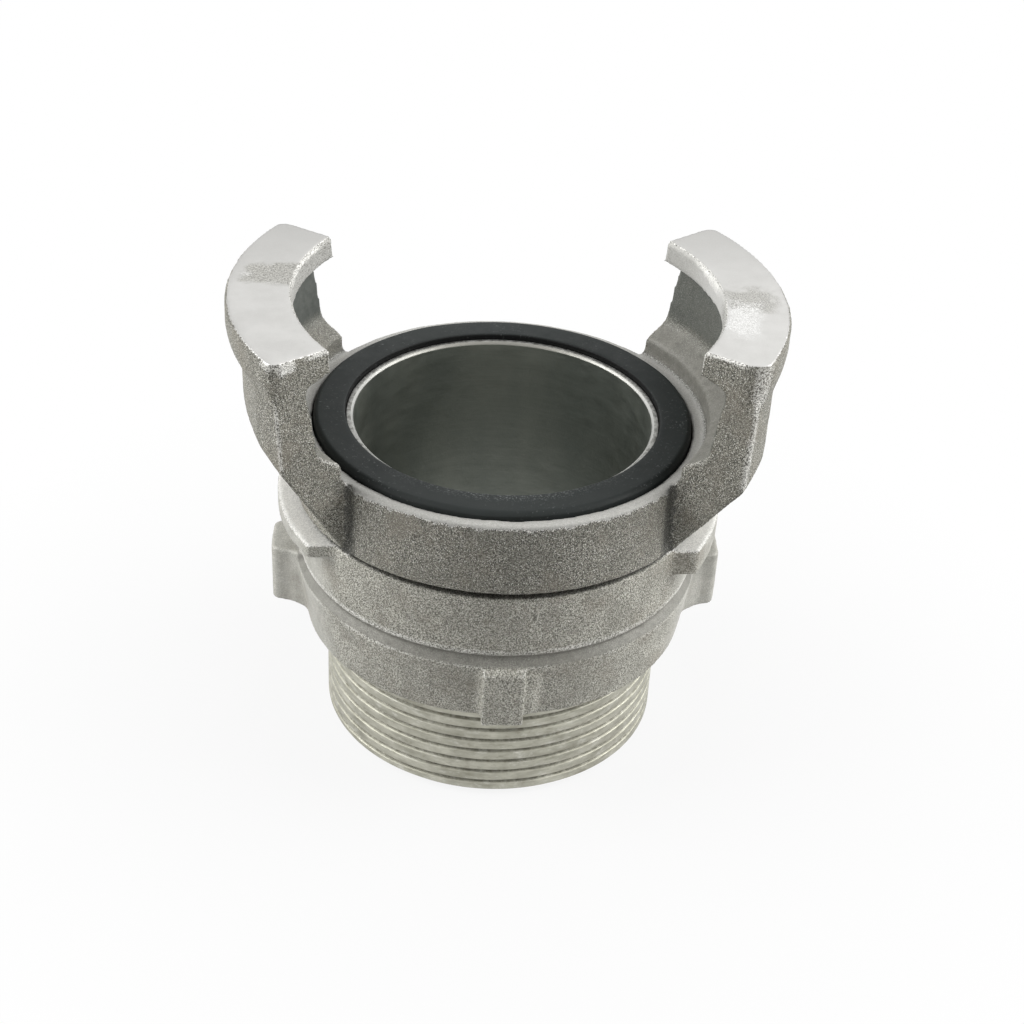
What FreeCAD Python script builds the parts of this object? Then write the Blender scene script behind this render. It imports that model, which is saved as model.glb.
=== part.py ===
import FreeCAD, Part
import Sketcher
import math
import os

# Half of a symmetrical two-claw clamp coupling with a male pipe thread, in millimetres.
# The origin is the centre of the threaded end face, +Z runs along the bore to the claws,
# and the claws stand on the X axis. The locking ring turns freely about Z.

doc = FreeCAD.newDocument("male_threaded_coupling")
sheet = doc.addObject("Spreadsheet::Sheet", "size")

# Driving sizes

SIZES = [
    ("bore_diameter", 50.6),
    ("bore_chamfer", 1.0),
    ("face_height", 59.2),
    ("thread_diameter", 59.6),
    ("thread_chamfer", 1.3),
    ("thread_relief", 1.6),
    ("spigot_diameter", 60.8),
    ("lip_diameter", 53.0),
    ("lip_bevel", 0.4),
    ("seal_groove_diameter", 64.2),
    ("seal_groove_depth", 5.0),
    ("seal_groove_undercut", 0.7),
    ("seal_clearance", 0.1),
    ("seal_proud", 1.2),
    ("seal_edge_bevel", 0.4),
    ("head_face_diameter", 68.4),
    ("head_foot_diameter", 70.8),
    ("head_depth", 12.4),
    ("claw_height", 23.1),
    ("claw_diameter", 92.0),
    ("claw_half_angle", 34.5),
    ("claw_end_draft", 7.1),
    ("claw_edge_bevel", 0.5),
    ("hook_diameter", 70.0),
    ("hook_nose_thickness", 4.0),
    ("hook_root_thickness", 5.6),
    ("hook_nose_bevel", 0.5),
    ("pocket_top_diameter", 79.6),
    ("pocket_foot_diameter", 77.2),
    ("pocket_radius", 1.5),
    ("plate_rim_depth", 3.6),
    ("plate_rim_slope", 2.4),
    ("leg_end_diameter", 91.2),
    ("leg_back_offset", 30.0),
    ("leg_thickness", 3.7),
    ("right_leg_corner_height", 4.2),
    ("left_leg_corner_height", 7.4),
    ("leg_corner_radius", 3.0),
    ("leg_foot_inset", 4.1),
    ("foot_recess_diameter", 69.2),
    ("foot_step", 3.2),
    ("foot_rise", 5.8),
    ("foot_radius", 2.2),
    ("foot_edge_radius", 1.2),
    ("end_play", 1.2),
    ("running_clearance", 0.08),
    ("axial_clearance", 0.05),
    ("ring_turn", -1.5),
    ("collar_diameter", 69.4),
    ("collar_depth", 11.3),
    ("neck_diameter", 68.0),
    ("neck_height", 0.7),
    ("hub_diameter", 71.2),
    ("hub_end_diameter", 67.2),
    ("ring_depth", 24.7),
    ("cam_diameter", 76.6),
    ("cam_tip_half_angle", 32.5),
    ("cam_root_half_angle", 39.5),
    ("cam_thin_end", 2.5),
    ("cam_pitch", 13.4),
    ("cam_ramp_overrun", 5.0),
    ("cam_groove_min", 1.0),
    ("rib_reach", 36.4),
    ("rib_width", 7.0),
    ("rib_top_drop", 3.1),
    ("ear_reach", 39.5),
    ("ear_width", 8.6),
    ("ear_shoulder_reach", 36.4),
    ("ear_shoulder_width", 10.0),
    ("ear_root_width", 15.6),
    ("ear_root_cover", 0.6),
    ("ear_top_drop", 0.4),
    ("ear_foot_rise", 2.0),
    ("ear_corner_radius", 1.6),
    ("counterbore_diameter", 63.0),
    ("counterbore_depth", 4.1),
    ("snap_ring_thickness", 2.0),
    ("snap_ring_width", 2.3),
    ("snap_ring_gap_angle", 16.0),
    ("snap_groove_clearance", 0.05),
    ("snap_groove_floor_diameter", 57.6),
]

for row, (alias, value) in enumerate(SIZES, start=1):
    sheet.set(f"A{row}", alias)
    sheet.set(f"B{row}", str(value))
    sheet.setAlias(f"B{row}", alias)
doc.recompute()

# Ribs, ears and claws stand in opposed pairs
PAIR = 2

# How far a cutting shape runs past the metal that it trims
PAST = 5

# How close a computed radius or height comes to count as the same
NEAR = 0.001

# Heights and radii that several pieces share, as expressions of the driving sizes

FACE = "size.face_height"
HEAD_FOOT = "(size.face_height - size.head_depth)"
RING_TOP = f"({HEAD_FOOT} - size.end_play)"
COLLAR_FOOT = f"({RING_TOP} - size.collar_depth)"
RING_FOOT = f"({RING_TOP} - size.ring_depth)"
SHOULDER = f"({RING_FOOT} + size.counterbore_depth)"
SNAP_TOP = f"({SHOULDER} - size.axial_clearance)"
SNAP_FOOT = f"({SNAP_TOP} - size.snap_ring_thickness)"
SNAP_GROOVE_TOP = f"({SNAP_TOP} + size.snap_groove_clearance)"
SNAP_GROOVE_FOOT = f"({SNAP_FOOT} - size.snap_groove_clearance)"
THREAD_TOP = f"({SNAP_GROOVE_FOOT} - size.thread_relief)"
CLAW_TOP = "(size.face_height + size.claw_height)"
PLATE_FOOT = f"({CLAW_TOP} - size.plate_rim_depth - size.plate_rim_slope)"
EAR_TOP = f"({COLLAR_FOOT} - size.ear_top_drop)"
EAR_FOOT = f"({RING_FOOT} + size.ear_foot_rise)"
LIP_RADIUS = "(size.lip_diameter / 2)"
CLAW_RADIUS = "(size.claw_diameter / 2)"
RING_BORE_RADIUS = "(size.spigot_diameter / 2 + size.running_clearance)"


def number(expression):
    """The value of an expression of the sheet, as a plain number."""
    return float(sheet.evalExpression(expression))


def origin_plane(body, role):
    """One of the body's own origin planes, by its role."""
    for feature in body.Origin.OriginFeatures:
        if feature.Role == role:
            return feature
    raise ValueError(role)


def new_body(name):
    return doc.addObject("PartDesign::Body", name)


def new_sketch(body, name, role, height=None):
    """A sketch on an origin plane of the body, lifted to a height where one is given."""
    sketch = body.newObject("Sketcher::SketchObject", name)
    sketch.AttachmentSupport = [(origin_plane(body, role), "")]
    sketch.MapMode = "FlatFace"
    if height is not None:
        sketch.setExpression("AttachmentOffset.Base.z", height)
    return sketch


def pin_point(sketch, curve, end, across, up):
    """Ties one end of a curve to two expressions measured from the origin."""
    for kind, text in (("DistanceX", across), ("DistanceY", up)):
        distance = number(text)
        if distance == 0:
            axis = -2 if kind == "DistanceX" else -1
            sketch.addConstraint(Sketcher.Constraint("PointOnObject", curve, end, axis))
            continue
        index = sketch.addConstraint(Sketcher.Constraint(kind, -1, 1, curve, end, distance))
        sketch.setExpression(f"Constraints[{index}]", text)


def rounding(before, corner, after, radius):
    """Where a round of this radius leaves both edges of a corner, and its arc, anticlockwise."""
    back = (before - corner).normalize()
    ahead = (after - corner).normalize()
    half = back.getAngle(ahead) / 2
    reach = radius / math.tan(half)
    middle = (back + ahead).normalize()
    nearest = corner + middle * (radius / math.sin(half) - radius)
    arriving = corner + back * reach
    leaving = corner + ahead * reach
    if back.cross(ahead).z > 0:
        return arriving, leaving, Part.Arc(leaving, nearest, arriving)
    return arriving, leaving, Part.Arc(arriving, nearest, leaving)


def draw_outline(sketch, corners):
    """A closed outline through corners given as expressions: across, up and perhaps a radius."""
    points = [FreeCAD.Vector(number(corner[0]), number(corner[1]), 0) for corner in corners]
    count = len(points)
    leaving = list(points)
    arriving = list(points)
    arcs = {}
    for place, corner in enumerate(corners):
        if len(corner) > 2:
            after = points[(place + 1) % count]
            found = rounding(points[place - 1], points[place], after, number(corner[2]))
            arriving[place], leaving[place], arcs[place] = found
    for place in range(count):
        line = Part.LineSegment(leaving[place], arriving[(place + 1) % count])
        sketch.addGeometry(line, False)
    for place, corner in enumerate(corners):
        if place in arcs:
            round_corner(sketch, arcs[place], (place - 1) % count, place, arriving[place], corner)
        else:
            joint = Sketcher.Constraint("Coincident", (place - 1) % count, 2, place, 1)
            sketch.addConstraint(joint)
            pin_point(sketch, place, 1, corner[0], corner[1])


def round_corner(sketch, arc, line_before, line_after, arriving, corner):
    """An arc between two lines, which would meet at the pinned corner without it."""
    across, up, radius = corner
    curve = sketch.addGeometry(arc, False)
    meeting = sketch.addGeometry(Part.Point(FreeCAD.Vector(number(across), number(up), 0)), True)
    first = 1 if arc.StartPoint.distanceToPoint(arriving) < NEAR else 2
    sketch.addConstraint(Sketcher.Constraint("Tangent", line_before, 2, curve, first))
    sketch.addConstraint(Sketcher.Constraint("Tangent", line_after, 1, curve, 3 - first))
    sketch.addConstraint(Sketcher.Constraint("PointOnObject", meeting, 1, line_before))
    sketch.addConstraint(Sketcher.Constraint("PointOnObject", meeting, 1, line_after))
    pin_point(sketch, meeting, 1, across, up)
    index = sketch.addConstraint(Sketcher.Constraint("Radius", curve, number(radius)))
    sketch.setExpression(f"Constraints[{index}]", radius)


def revolve(body, sketch, name, angle="360"):
    """A full or part turn of the sketch about the bore's axis."""
    turned = body.newObject("PartDesign::Revolution", name)
    turned.Profile = sketch
    turned.ReferenceAxis = (sketch, ["V_Axis"])
    turned.setExpression("Angle", angle)
    sketch.Visibility = False
    return turned


def pad(body, sketch, name, length):
    raised = body.newObject("PartDesign::Pad", name)
    raised.Profile = sketch
    raised.setExpression("Length", length)
    return raised


def repeat_round(body, feature, name, copies):
    """Copies of a feature spaced evenly round the bore's axis."""
    pattern = body.newObject("PartDesign::PolarPattern", name)
    pattern.Originals = [feature]
    pattern.Axis = (feature.Profile[0], ["N_Axis"])
    pattern.Angle = 360
    pattern.Occurrences = copies
    body.Tip = pattern
    return pattern


def round_upright_edges(body, feature, name, across, out, radius):
    """A fillet on the upright edges at plus or minus two distances from the axis."""
    doc.recompute()
    names = []
    for index, edge in enumerate(feature.Shape.Edges, start=1):
        ends = [vertex.Point for vertex in edge.Vertexes]
        wanted = [abs(abs(end.x) - number(across)) < NEAR and abs(abs(end.y) - number(out)) < NEAR
                  for end in ends]
        if len(ends) == PAIR and all(wanted) and abs(ends[0].z - ends[1].z) > NEAR:
            names.append(f"Edge{index}")
    if not names:
        raise ValueError(f"no upright edge at {across}, {out}")
    fillet = body.newObject("PartDesign::Fillet", name)
    fillet.Base = (feature, names)
    fillet.setExpression("Radius", radius)
    return fillet


def fused(name, pieces):
    joined = doc.addObject("Part::MultiFuse", name)
    joined.Shapes = pieces
    joined.Refine = True
    return joined


def common(name, pieces):
    shared = doc.addObject("Part::MultiCommon", name)
    shared.Shapes = pieces
    return shared


# The casting's turned part: bore, lip, seal groove, head ring, spigot and threaded end

def make_turned_body():
    body = new_body("turned_body")
    sketch = new_sketch(body, "turned_profile", "XZ_Plane")
    bore = "size.bore_diameter / 2"
    thread = "size.thread_diameter / 2"
    spigot = "size.spigot_diameter / 2"
    floor = "size.snap_groove_floor_diameter / 2"
    groove = "size.seal_groove_diameter / 2"
    draw_outline(sketch, [
        (f"{bore} + size.bore_chamfer", "0"),
        (f"{thread} - size.thread_chamfer", "0"),
        (thread, "size.thread_chamfer"),
        (thread, f"{THREAD_TOP} - (size.spigot_diameter - size.thread_diameter) / 2"),
        (spigot, THREAD_TOP),
        (spigot, SNAP_GROOVE_FOOT),
        (floor, SNAP_GROOVE_FOOT),
        (floor, SNAP_GROOVE_TOP),
        (spigot, SNAP_GROOVE_TOP),
        (spigot, HEAD_FOOT),
        ("size.head_foot_diameter / 2", HEAD_FOOT),
        ("size.head_face_diameter / 2", FACE),
        (groove, FACE),
        (f"{groove} + size.seal_groove_undercut", f"{FACE} - size.seal_groove_depth"),
        (LIP_RADIUS, f"{FACE} - size.seal_groove_depth"),
        (LIP_RADIUS, FACE),
        (f"{bore} + size.lip_bevel", FACE),
        (bore, f"{FACE} - size.lip_bevel"),
        (bore, "size.bore_chamfer"),
    ])
    revolve(body, sketch, "turned_solid")
    return body


# The claws: a turned hook section, cut to a wedge and to the outline of the leg's back

def make_claw_section():
    """The claw as turned about the bore: head, pocket, foot and hook plate."""
    body = new_body("claw_section")
    sketch = new_sketch(body, "claw_profile", "XZ_Plane")
    nose = "size.hook_diameter / 2"
    pocket = "size.pocket_top_diameter / 2"
    pocket_foot = "size.pocket_foot_diameter / 2"
    recess = "size.foot_recess_diameter / 2"
    leg = "size.leg_end_diameter / 2"
    inside = "(size.seal_groove_diameter / 2 + size.head_foot_diameter / 2) / 2"
    root = f"{CLAW_TOP} - size.hook_root_thickness"
    draw_outline(sketch, [
        (inside, HEAD_FOOT),
        (leg, HEAD_FOOT),
        (leg, PLATE_FOOT),
        (CLAW_RADIUS, f"{CLAW_TOP} - size.plate_rim_depth"),
        (CLAW_RADIUS, f"{CLAW_TOP} - size.claw_edge_bevel"),
        (f"{CLAW_RADIUS} - size.claw_edge_bevel", CLAW_TOP),
        (f"{nose} + size.hook_nose_bevel", CLAW_TOP),
        (nose, f"{CLAW_TOP} - size.hook_nose_bevel"),
        (nose, f"{CLAW_TOP} - size.hook_nose_thickness"),
        (pocket, root, "size.pocket_radius"),
        (pocket_foot, f"{FACE} + size.foot_rise", "size.foot_radius"),
        (recess, f"{FACE} + size.foot_step", "size.foot_edge_radius"),
        (recess, f"{FACE} - size.foot_step"),
        (inside, f"{FACE} - size.foot_step"),
    ])
    revolve(body, sketch, "claw_turned")
    return body


def make_claw_wedge():
    """A wedge whose end faces are radial at the claw's top and spread downwards."""
    body = new_body("claw_wedge")
    reach = f"({CLAW_RADIUS} + {PAST})"
    spread = "(size.claw_height + size.head_depth) * tan(size.claw_end_draft * 1 deg)"
    slope = "tan(size.claw_half_angle * 1 deg)"
    apex = f"-{spread} / sin(size.claw_half_angle * 1 deg)"
    foot = new_sketch(body, "wedge_foot", "XY_Plane", HEAD_FOOT)
    top = new_sketch(body, "wedge_top", "XY_Plane", CLAW_TOP)
    for sketch, start in ((top, "0"), (foot, apex)):
        half = f"({reach} - ({start})) * {slope}"
        draw_outline(sketch, [(start, "0"), (reach, f"-({half})"), (reach, half)])
    wedge = body.newObject("PartDesign::AdditiveLoft", "wedge")
    wedge.Profile = foot
    wedge.Sections = [top]
    wedge.Ruled = True
    return body


def make_leg_envelope(side):
    """The leg's flatter back and sloping underside, turned about an axis behind the bore."""
    body = new_body(f"{side}_leg_envelope")
    sketch = new_sketch(body, f"{side}_leg_profile", "XZ_Plane")
    corner = f"{FACE} + size.{side}_leg_corner_height"
    back = "size.leg_back_offset + size.pocket_top_diameter / 2 + size.leg_thickness"
    foot = "size.leg_back_offset + size.head_foot_diameter / 2 - size.leg_foot_inset"
    clear = f"size.leg_back_offset + {CLAW_RADIUS} + {PAST}"
    draw_outline(sketch, [
        ("size.leg_back_offset", HEAD_FOOT),
        (foot, HEAD_FOOT),
        (back, corner, "size.leg_corner_radius"),
        (back, PLATE_FOOT),
        (clear, f"{CLAW_TOP} - size.plate_rim_depth"),
        (clear, CLAW_TOP),
        ("size.leg_back_offset", CLAW_TOP),
    ])
    revolve(body, sketch, f"{side}_leg_turned")
    body.setExpression("Placement.Base.x", "-size.leg_back_offset")
    return body


def make_coupling_body():
    """One casting; the left claw's heel is cut back higher than the right one's."""
    turned = make_turned_body()
    section = make_claw_section()
    wedge = make_claw_wedge()
    right = common("right_claw", [section, wedge, make_leg_envelope("right")])
    facing = common("facing_claw", [section, wedge, make_leg_envelope("left")])
    left = doc.addObject("Part::Mirroring", "left_claw")
    left.Source = facing
    left.Normal = FreeCAD.Vector(1, 0, 0)
    return fused("coupling_body", [turned, right, left])


# The locking ring: collar, necked hub, ribs, ears and two cams with helical undersides

def make_ring_hub():
    body = new_body("ring_hub")
    sketch = new_sketch(body, "ring_profile", "XZ_Plane")
    counterbore = "size.counterbore_diameter / 2"
    draw_outline(sketch, [
        (counterbore, RING_FOOT),
        ("size.hub_end_diameter / 2", RING_FOOT),
        ("size.hub_diameter / 2", f"{COLLAR_FOOT} - size.neck_height"),
        ("size.collar_diameter / 2", COLLAR_FOOT),
        ("size.collar_diameter / 2", RING_TOP),
        (RING_BORE_RADIUS, RING_TOP),
        (RING_BORE_RADIUS, SHOULDER),
        (counterbore, SHOULDER),
    ])
    revolve(body, sketch, "ring_turned")
    ribs = add_ribs(body)
    cut_neck(body, ribs)
    add_ears(body)
    return body


def add_ribs(body):
    """Narrow upright ribs on the hub, front and back."""
    sketch = new_sketch(body, "rib_outline", "XY_Plane", RING_FOOT)
    half = "size.rib_width / 2"
    inner = "(size.hub_end_diameter + size.counterbore_diameter) / 4"
    draw_outline(sketch, [
        (f"-{half}", inner), (half, inner), (half, "size.rib_reach"), (f"-{half}", "size.rib_reach"),
    ])
    rib = pad(body, sketch, "rib", f"{COLLAR_FOOT} - {RING_FOOT}")
    return repeat_round(body, rib, "ribs", PAIR)


def cut_neck(body, ribs):
    """The neck under the collar, whose lower flank also slopes the tops of the ribs."""
    doc.recompute()
    before = ribs.Shape.Volume
    sketch = new_sketch(body, "neck_profile", "XZ_Plane")
    deep = f"{COLLAR_FOOT} - size.neck_height"
    steepness = "(size.rib_top_drop - size.neck_height) / (size.rib_reach - size.neck_diameter / 2)"
    beyond = f"(size.rib_reach + {PAST})"
    draw_outline(sketch, [
        ("size.neck_diameter / 2", deep),
        (beyond, f"{deep} - ({beyond} - size.neck_diameter / 2) * {steepness}"),
        (beyond, COLLAR_FOOT),
        ("size.collar_diameter / 2", COLLAR_FOOT),
    ])
    groove = body.newObject("PartDesign::Groove", "neck")
    groove.Profile = sketch
    groove.ReferenceAxis = (sketch, ["V_Axis"])
    groove.Angle = 360
    doc.recompute()
    if groove.Shape.Volume >= before:
        raise ValueError("the neck is not cut")


def add_ears(body):
    """Ears at both sides, flared into the hub, that a hook spanner drives."""
    sketch = new_sketch(body, "ear_outline", "XY_Plane", EAR_FOOT)
    root = "(size.counterbore_diameter / 2 + size.ear_root_cover)"
    draw_outline(sketch, [
        (root, "-size.ear_root_width / 2"),
        ("size.ear_shoulder_reach", "-size.ear_shoulder_width / 2"),
        ("size.ear_reach", "-size.ear_width / 2"),
        ("size.ear_reach", "size.ear_width / 2"),
        ("size.ear_shoulder_reach", "size.ear_shoulder_width / 2"),
        (root, "size.ear_root_width / 2"),
    ])
    ear = pad(body, sketch, "ear", f"{EAR_TOP} - {EAR_FOOT}")
    ears = repeat_round(body, ear, "ears", PAIR)
    round_upright_edges(body, ears, "ear_corners", "size.ear_reach", "size.ear_width / 2",
                        "size.ear_corner_radius")


def make_cam(side, turn):
    """One lobe at the ring's top: a flat-topped plate cut to a helix underneath."""
    plate = new_body(f"cam_plate_{side}")
    sketch = new_sketch(plate, f"cam_outline_{side}", "XY_Plane", RING_TOP)
    draw_cam_outline(sketch)
    lobe = pad(plate, sketch, f"cam_{side}", "size.collar_depth - size.cam_groove_min")
    lobe.Reversed = True
    plate.Placement = FreeCAD.Placement(FreeCAD.Vector(), FreeCAD.Rotation(turn, 0, 0))
    ramp = make_ramp(side, turn)
    return common(f"{side}_cam", [plate, ramp])


def draw_cam_outline(sketch):
    """An arc at the tip, two oblique ends and an arc inside the collar."""
    tip_radius = "size.cam_diameter / 2"
    root_radius = "(size.collar_diameter + size.spigot_diameter) / 4"
    corners = []
    for curve, (radius, half) in enumerate(((tip_radius, "size.cam_tip_half_angle"),
                                            (root_radius, "size.cam_root_half_angle"))):
        angle = math.radians(number(half))
        circle = Part.Circle(FreeCAD.Vector(), FreeCAD.Vector(0, 0, 1), number(radius))
        arc = Part.ArcOfCircle(circle, -angle, angle)
        corners += [arc.StartPoint, arc.EndPoint]
        sketch.addGeometry(arc, False)
        sketch.addConstraint(Sketcher.Constraint("Coincident", curve, 3, -1, 1))
        index = sketch.addConstraint(Sketcher.Constraint("Radius", curve, number(radius)))
        sketch.setExpression(f"Constraints[{index}]", radius)
        for end, sign in ((1, "-"), (2, "")):
            out = f"{sign}({radius}) * sin({half} * 1 deg)"
            height = Sketcher.Constraint("DistanceY", -1, 1, curve, end, number(out))
            index = sketch.addConstraint(height)
            sketch.setExpression(f"Constraints[{index}]", out)
    tip_start, tip_end, root_start, root_end = corners
    sketch.addGeometry(Part.LineSegment(tip_end, root_end), False)
    sketch.addGeometry(Part.LineSegment(root_start, tip_start), False)
    for first, first_end, second, second_end in ((0, 2, 2, 1), (2, 2, 1, 2), (1, 1, 3, 1), (3, 2, 0, 1)):
        sketch.addConstraint(Sketcher.Constraint("Coincident", first, first_end, second, second_end))


def make_ramp(side, turn):
    """The space above the cam's helical underside, swept past both ends of the lobe."""
    body = new_body(f"cam_ramp_{side}")
    sketch = new_sketch(body, f"ramp_section_{side}", "XZ_Plane")
    swept = "(2 * size.cam_root_half_angle + 2 * size.cam_ramp_overrun)"
    to_thin_end = "(size.cam_root_half_angle + size.cam_ramp_overrun + size.cam_tip_half_angle)"
    low = f"{RING_TOP} - size.cam_thin_end - size.cam_pitch * {to_thin_end} / 360"
    inner = "size.spigot_diameter / 4"
    outer = f"size.cam_diameter / 2 + {PAST}"
    high = f"{RING_TOP} + size.cam_thin_end"
    draw_outline(sketch, [(inner, low), (outer, low), (outer, high), (inner, high)])
    helix = body.newObject("PartDesign::AdditiveHelix", f"ramp_{side}")
    helix.Profile = sketch
    helix.ReferenceAxis = (sketch, ["V_Axis"])
    helix.Mode = 0
    helix.setExpression("Pitch", "size.cam_pitch")
    helix.setExpression("Height", f"size.cam_pitch * {swept} / 360")
    body.setExpression("Placement.Rotation.Angle", f"{turn} - {swept} / 2")
    return body


def make_locking_ring():
    hub = make_ring_hub()
    cams = [make_cam("front", 0), make_cam("rear", 180)]
    ring = fused("locking_ring", [hub] + cams)
    ring.setExpression("Placement.Rotation.Angle", "size.ring_turn")
    return ring


# The rubber ring in the head's groove, proud of the sealing face

def make_face_seal():
    body = new_body("face_seal")
    sketch = new_sketch(body, "seal_profile", "XZ_Plane")
    inner = f"{LIP_RADIUS} + size.seal_clearance"
    outer = "size.seal_groove_diameter / 2 - size.seal_clearance"
    floor = f"{FACE} - size.seal_groove_depth"
    top = f"{FACE} + size.seal_proud"
    draw_outline(sketch, [
        (inner, floor),
        (f"{outer} + size.seal_groove_undercut", floor),
        (outer, FACE),
        (outer, f"{top} - size.seal_edge_bevel"),
        (f"{outer} - size.seal_edge_bevel", top),
        (inner, top),
    ])
    revolve(body, sketch, "seal_turned")
    return body


# The split snap ring that holds the locking ring on its spigot

def make_retaining_ring():
    body = new_body("retaining_ring")
    sketch = new_sketch(body, "snap_ring_section", "XZ_Plane")
    inner = "size.snap_groove_floor_diameter / 2 + size.snap_groove_clearance"
    outer = f"{inner} + size.snap_ring_width"
    draw_outline(sketch, [(inner, SNAP_FOOT), (outer, SNAP_FOOT), (outer, SNAP_TOP), (inner, SNAP_TOP)])
    revolve(body, sketch, "snap_ring_turned", "360 - size.snap_ring_gap_angle")
    return body


PARTS = [make_coupling_body(), make_locking_ring(), make_face_seal(), make_retaining_ring()]
doc.recompute()

for item in doc.Objects:
    faults = {"Invalid", "Error"} & set(item.State)
    if faults:
        raise ValueError(f"{item.Name} is {faults}")

os.makedirs("parts", exist_ok=True)
for part in PARTS:
    if part.Shape.isNull() or not part.Shape.isValid():
        raise ValueError(f"{part.Label} has no sound shape")
    print(part.Label, "solids", len(part.Shape.Solids), "volume", round(part.Shape.Volume, 1))
    part.Shape.exportStep(f"parts/{part.Label}.step")
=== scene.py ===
import math

import bpy
import numpy as np
from mathutils import Matrix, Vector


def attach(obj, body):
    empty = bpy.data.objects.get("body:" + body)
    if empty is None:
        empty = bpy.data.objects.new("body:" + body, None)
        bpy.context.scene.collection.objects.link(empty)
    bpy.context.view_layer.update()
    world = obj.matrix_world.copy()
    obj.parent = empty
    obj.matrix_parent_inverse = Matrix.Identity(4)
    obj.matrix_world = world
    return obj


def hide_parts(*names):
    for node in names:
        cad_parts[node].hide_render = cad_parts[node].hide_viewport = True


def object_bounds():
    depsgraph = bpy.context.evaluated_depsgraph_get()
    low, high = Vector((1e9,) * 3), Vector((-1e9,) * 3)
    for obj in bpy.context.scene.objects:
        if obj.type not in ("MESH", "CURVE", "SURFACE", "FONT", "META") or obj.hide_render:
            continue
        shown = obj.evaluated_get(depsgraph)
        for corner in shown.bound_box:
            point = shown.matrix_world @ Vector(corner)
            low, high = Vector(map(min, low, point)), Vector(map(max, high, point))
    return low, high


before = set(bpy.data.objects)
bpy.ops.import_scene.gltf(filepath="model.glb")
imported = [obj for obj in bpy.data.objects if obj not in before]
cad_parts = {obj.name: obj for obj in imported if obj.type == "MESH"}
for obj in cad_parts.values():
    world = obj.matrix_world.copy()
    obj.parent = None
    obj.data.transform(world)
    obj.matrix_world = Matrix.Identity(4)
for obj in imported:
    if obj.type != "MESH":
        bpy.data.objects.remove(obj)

# Dresses the solids of a male threaded clamp coupling: the casting with its turned barrel, the locking ring,
# the face seal and the snap ring. The bore's axis is Z, the claws are to the left (-X) and right (+X), and
# the photograph looks at the front (-Y). Lengths are in millimetres until they become a mesh.

CAD_BOX = [list(corner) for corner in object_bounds()]
MM = 0.001

# Heights above the threaded end, as the solids have them
THREAD_END = 20.7
THREAD_SHOULDER = 21.3
SNAP_GROOVE = 22.9, 25.0
SNAP_RING = 22.95, 24.95
RING_FOOT = 20.9
COLLAR_FOOT = 34.3
RING_TOP = 45.6
HEAD_FOOT = 46.8
GROOVE_FLOOR = 54.2
FACE = 59.2
SEAL_TOP = FACE + 1.1
BELOW_RIM = FACE - 0.8
CAM_FOOT = COLLAR_FOOT + 1.5
CLAW_TOP = 82.3
PLATE_UNDERSIDE = CLAW_TOP - 5

# Radii
BORE_RADIUS = 25.3
LIP_RADIUS = 26.5
SNAP_GROOVE_RADIUS = 28.8
SNAP_RING_RADII = 28.85, 31.15
THREAD_RADIUS = 29.8
SPIGOT_RADIUS = 30.4
SPLIT_RADIUS = 31.6
BARREL_REACH = 31.9
SEAL_RADIUS = 32.0
SEAL_FOOT_RADIUS = 32.7
COLLAR_RADIUS = 34.7
HOOK_RADIUS = 35.0
NOSE_REACH = HOOK_RADIUS + 1.2
RIB_REACH = 36.4
CAM_REACH = 37.2
CLAW_RADIUS = 46.0

# Thread, chamfers, margins, claws and ribs
THREAD_PITCH = 2.309
THREAD_DEPTH = 0.60
THREAD_FLANK = math.tan(math.radians(27.5))
THREAD_CHAMFER = 1.3
BORE_CHAMFER = 1.0
LIP_CHAMFER = 0.4
LIP_BORDER = 0.45
BARREL_ROUNDING = 0.14
SEAL_ROUNDING = 0.45
WIRE_ROUNDING = 0.3
CLEARANCE = 0.05
BOX_MARGIN = 0.01
CLAW_HALF_ANGLE = math.radians(34.5)
END_DRAFT = math.tan(math.radians(7.1))
REAR_CORNER = 3.4
LEFT_FRONT_CORNER = 2.8
RIGHT_FRONT_CORNER = 4.2
RIB_HALF_WIDTH = 3.5
RIB_TOP = 31.4
RIB_LIFT = 0.55
SNAP_ENDS = 0.6, 343.4

# Fineness of the meshes
CASTING_VOXEL = 0.44
RING_VOXEL = 0.42
SMOOTHING = 2
THREAD_STEP = 0.15
PLAIN_STEP = 3.0
UNCUT_RUN = 1.0
SEAL_STEP = 0.7
BARREL_COLUMNS = 288
CORE_COLUMNS = 256
SEAL_COLUMNS = 240
SNAP_COLUMNS = 170

# Depth of the unevenness of the castings and of the seal's top
CASTING_UNEVEN = 0.09
RING_UNEVEN = 0.08
SEAL_UNEVEN = 0.05


# Noise and soft steps

AXIS_PRIMES = np.array([73856093, 19349663, 83492791])
SEED_PRIME = 2654435761
MIXING = (13, 1274126177), (16, 668265263)
KEY_MASK = 0x7FFFFFFF
KEY_MIDDLE = 0x3FFFFFFF


def lattice_noise(points, size, seed):
    """Smooth noise between -1 and 1 at each point, in cells of that size."""
    points = points / size
    cell = np.floor(points).astype(np.int64)
    part = points - cell
    part = part * part * (3 - 2 * part)
    total = np.zeros(len(points))
    for corner in range(8):
        step = np.array([corner & 1, corner >> 1 & 1, corner >> 2 & 1])
        key = (cell + step) @ AXIS_PRIMES + seed * SEED_PRIME
        for shift, prime in MIXING:
            key = (key ^ (key >> shift)) * prime & KEY_MASK
        total += (key / KEY_MIDDLE - 1) * np.prod(np.where(step == 1, part, 1 - part), axis=1)
    return total


def smoothstep(low, high, value):
    t = np.clip((value - low) / (high - low), 0, 1)
    return t * t * (3 - 2 * t)


def within(value, low, high, soft):
    """1 between two values, 0 outside them, with a soft step at each."""
    return smoothstep(low - soft, low + soft, value) * (1 - smoothstep(high - soft, high + soft, value))


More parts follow.
